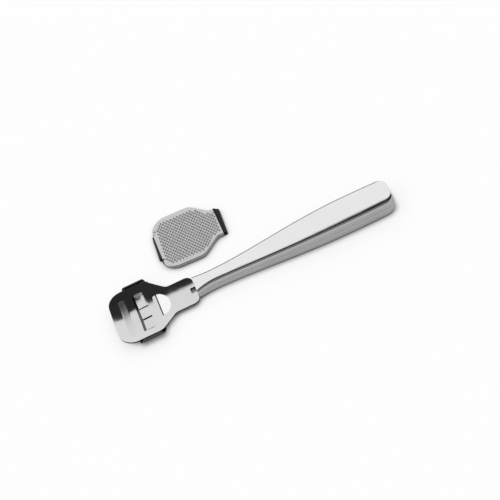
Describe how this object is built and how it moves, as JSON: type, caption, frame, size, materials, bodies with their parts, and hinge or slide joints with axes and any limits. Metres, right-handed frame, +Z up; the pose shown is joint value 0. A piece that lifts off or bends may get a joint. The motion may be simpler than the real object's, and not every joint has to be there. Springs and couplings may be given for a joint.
{
  "type": "callus shaver",
  "caption": "Steel callus shaver with a hollow tapered handle and a dished blade head with side ears, lying flat with its clip-on toothed rasp plate beside it.",
  "frame": {"origin": "middle of the handle's flat underside, on the surface the shaver lies on", "axes": "+Z up, +X from the head towards the handle's free end, +Y towards the rasp plate that lies beside it"},
  "size_m": [0.1549, 0.0784, 0.0088],
  "materials": {
    "handle_steel": "polished",
    "head_steel": "polished",
    "clamp_steel": "polished",
    "blade_steel": "ground",
    "rasp_steel": "matt with bright teeth"
  },
  "bodies": {
    "root": {"handle_top_shell": "handle_steel", "handle_bottom_shell": "handle_steel", "head_plate": "head_steel", "blade_clamp": "clamp_steel", "blade": "blade_steel", "rasp_insert": "rasp_steel"}
  },
  "joints": []
}
